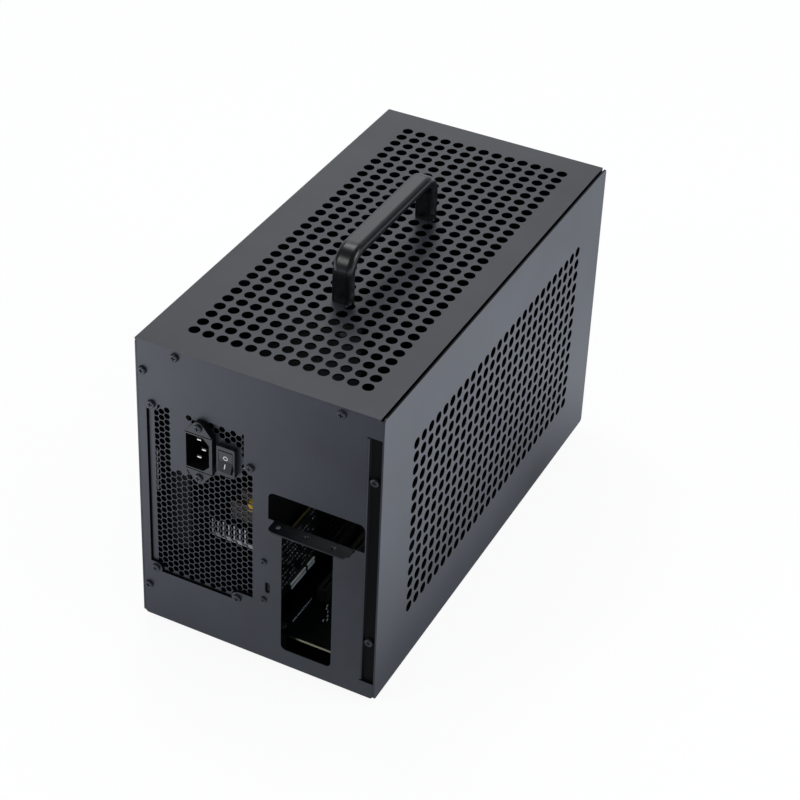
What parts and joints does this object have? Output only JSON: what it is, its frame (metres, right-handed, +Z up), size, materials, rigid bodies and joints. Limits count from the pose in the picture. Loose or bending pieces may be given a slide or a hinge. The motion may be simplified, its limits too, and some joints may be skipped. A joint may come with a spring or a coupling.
{
  "type": "graphics card enclosure",
  "caption": "Perforated steel desktop enclosure for an external graphics card, with a built-in power supply, a carry handle and an open bracket bay at the rear.",
  "frame": {"origin": "on the table under the feet, in the middle of the box round everything", "axes": "+X to the right seen from the rear, -Y out of the rear wall with the inlet and card openings, +Z up"},
  "size_m": [0.18, 0.3674, 0.274],
  "materials": {
    "powder_coat": "fine-textured dark grey powder coat on steel sheet",
    "handle_satin": "satin black over aluminium",
    "black_screw": "black zinc",
    "bright_screw": "bright zinc",
    "rubber": "black rubber",
    "psu_paint": "matt black paint on thin steel",
    "foam": "black foam",
    "black_plastic": "black moulded plastic",
    "pin_metal": "nickel-plated",
    "fan_plastic": "black moulded plastic",
    "guard_wire": "stamped and plated",
    "board_tan": "bare laminate",
    "standoff": "turned brass",
    "transformer_tape": "dark tape over windings",
    "film_capacitor_box": "yellow moulded box",
    "aluminium": "plain aluminium",
    "black_anodised": "black anodised",
    "can_sleeve": "sleeved cans",
    "copper_winding": "enamelled winding",
    "grey_plastic": "moulded plastic",
    "bracket_steel": "black zinc-plated steel",
    "board_green": "solder-masked laminate",
    "port_steel": "stainless shell",
    "cable": "black sleeve"
  },
  "bodies": {
    "enclosure": {"chassis": "powder_coat", "rear_wall": "powder_coat", "card_shelf": "powder_coat", "top_panel": "powder_coat", "left_panel": "powder_coat", "right_panel": "powder_coat", "top_panel_clips": "powder_coat", "left_panel_clips": "powder_coat", "right_panel_clips": "powder_coat", "carry_handle": "handle_satin", "rear_panel_screws": "black_screw", "front_panel_screws": "black_screw", "psu_mount_screws": "black_screw", "inlet_screws": "black_screw", "psu_fan_screws": "black_screw", "port_screws": "black_screw", "handle_screws": "black_screw", "psu_cover_screws": "black_screw", "slot_board_screws": "black_screw", "slot_board_standoffs": "black_screw", "dock_board_screws": "bright_screw", "rubber_feet": "rubber", "psu_case": "psu_paint", "psu_cover": "psu_paint", "psu_gasket": "foam", "inlet_socket": "black_plastic", "switch_frame": "black_plastic", "inlet_pins": "pin_metal", "psu_fan_frame": "fan_plastic", "psu_fan_guard": "guard_wire", "psu_board": "board_tan", "psu_standoffs": "standoff", "dock_standoffs": "standoff", "psu_transformer": "transformer_tape", "psu_film_capacitor": "film_capacitor_box", "psu_heatsinks": "aluminium", "dock_heatsink": "black_anodised", "psu_capacitors": "can_sleeve", "psu_choke": "copper_winding", "psu_grommet": "grey_plastic", "pcie_slot": "grey_plastic", "dock_link_socket": "grey_plastic", "slot_link_socket": "grey_plastic", "power_header": "grey_plastic", "power_plug": "grey_plastic", "dock_bracket": "bracket_steel", "dock_board": "board_green", "slot_board": "board_green", "usb_c_port": "port_steel", "link_ribbon": "cable", "power_lead": "cable"},
    "rocker": {"switch_rocker": "black_plastic"},
    "fan_rotor": {"psu_fan_rotor": "fan_plastic"},
    "card_latch": {"slot_latch": "grey_plastic"}
  },
  "joints": [
    {"name": "rocker_tilt", "type": "hinge", "parent": "enclosure", "child": "rocker", "pos_m": [-0.0219, -0.17135, 0.162], "axis": [1, 0, 0], "range_deg": [0, 16]},
    {"name": "fan_spin", "type": "hinge", "parent": "enclosure", "child": "fan_rotor", "pos_m": [-0.07195, -0.09935, 0.1177], "axis": [1, 0, 0], "continuous": true},
    {"name": "latch_tilt", "type": "hinge", "parent": "enclosure", "child": "card_latch", "pos_m": [0.0245, -0.03415, 0.0299], "axis": [-1, 0, 0], "range_deg": [0, 30]}
  ]
}
